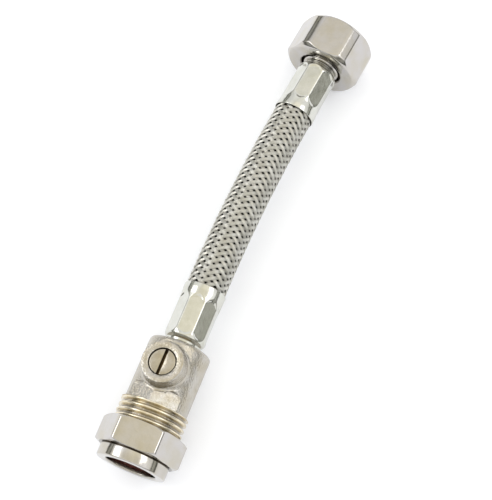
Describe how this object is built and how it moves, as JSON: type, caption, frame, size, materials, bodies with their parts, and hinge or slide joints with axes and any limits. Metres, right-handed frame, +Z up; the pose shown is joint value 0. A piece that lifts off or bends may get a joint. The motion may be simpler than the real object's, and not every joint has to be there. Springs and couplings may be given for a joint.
{
  "type": "flexible tap connector",
  "caption": "Short braided flexible hose with a slotted isolating ball valve and compression nut at one end and a swivel tap nut at the other.",
  "frame": {"origin": "centre of the part's box at the bottom, where both nuts lie on their flats", "axes": "+X along the valve from the compression nut to the tap nut, +Z up through the spindle boss, and the hose bends towards -Y"},
  "size_m": [0.1552, 0.033, 0.0255],
  "materials": {
    "plated_brass": "nickel plated and polished",
    "cast_plated_brass": "nickel plated over a satin forged surface",
    "bare_brass": "machined",
    "copper": "dull",
    "stainless_sheet": "bright drawn sheet",
    "stainless_wire": "braided fine wire",
    "ptfe": "smooth",
    "rubber": "matt"
  },
  "bodies": {
    "valve": {"valve_body": "cast_plated_brass", "ball_seat_inlet": "ptfe", "ball_seat_outlet": "ptfe", "valve_end_tail": "bare_brass", "tail_o_ring": "rubber", "valve_end_ferrule": "stainless_sheet", "inner_hose": "rubber", "braid_sleeve": "stainless_wire"},
    "spindle": {"valve_stem": "plated_brass", "valve_ball": "plated_brass", "stem_o_ring_upper": "rubber", "stem_o_ring_lower": "rubber"},
    "olive": {"olive": "copper"},
    "compression_nut": {"compression_nut": "plated_brass"},
    "tap_end": {"tap_end_ferrule": "stainless_sheet", "tap_end_tail": "plated_brass"},
    "washer": {"tap_washer": "rubber"},
    "tap_nut": {"tap_nut": "plated_brass"}
  },
  "joints": [
    {"name": "spindle_turn", "type": "hinge", "parent": "valve", "child": "spindle", "pos_m": [-0.04823, 0.00342, 0.0115], "axis": [0, 0.1045, 0.9945], "continuous": true},
    {"name": "olive_travel", "type": "slide", "parent": "valve", "child": "olive", "axis": [-1, 0, 0], "range_m": [0, 0.00363]},
    {"name": "nut_unscrew", "type": "hinge", "parent": "olive", "child": "compression_nut", "pos_m": [-0.07163, 0.00342, 0.0115], "axis": [-1, 0, 0], "range_deg": [0, 720]},
    {"name": "hose_bend", "type": "hinge", "parent": "valve", "child": "tap_end", "pos_m": [0.0123, 0.00246, 0.0115], "axis": [0, 0, 1], "range_deg": [-33, 47], "deforming": ["braid_sleeve", "inner_hose"]},
    {"name": "nut_swivel", "type": "hinge", "parent": "tap_end", "child": "washer", "pos_m": [0.06904, -0.00342, 0.0115], "axis": [0.9928, -0.1198, 0], "continuous": true},
    {"name": "nut_slide_back", "type": "slide", "parent": "washer", "child": "tap_nut", "axis": [-0.9928, 0.1198, 0], "range_m": [0, 0.015]}
  ],
  "couplings": [
    {"joint": "olive_travel", "follows": "nut_unscrew", "m_per_rad": 0.00028871}
  ]
}
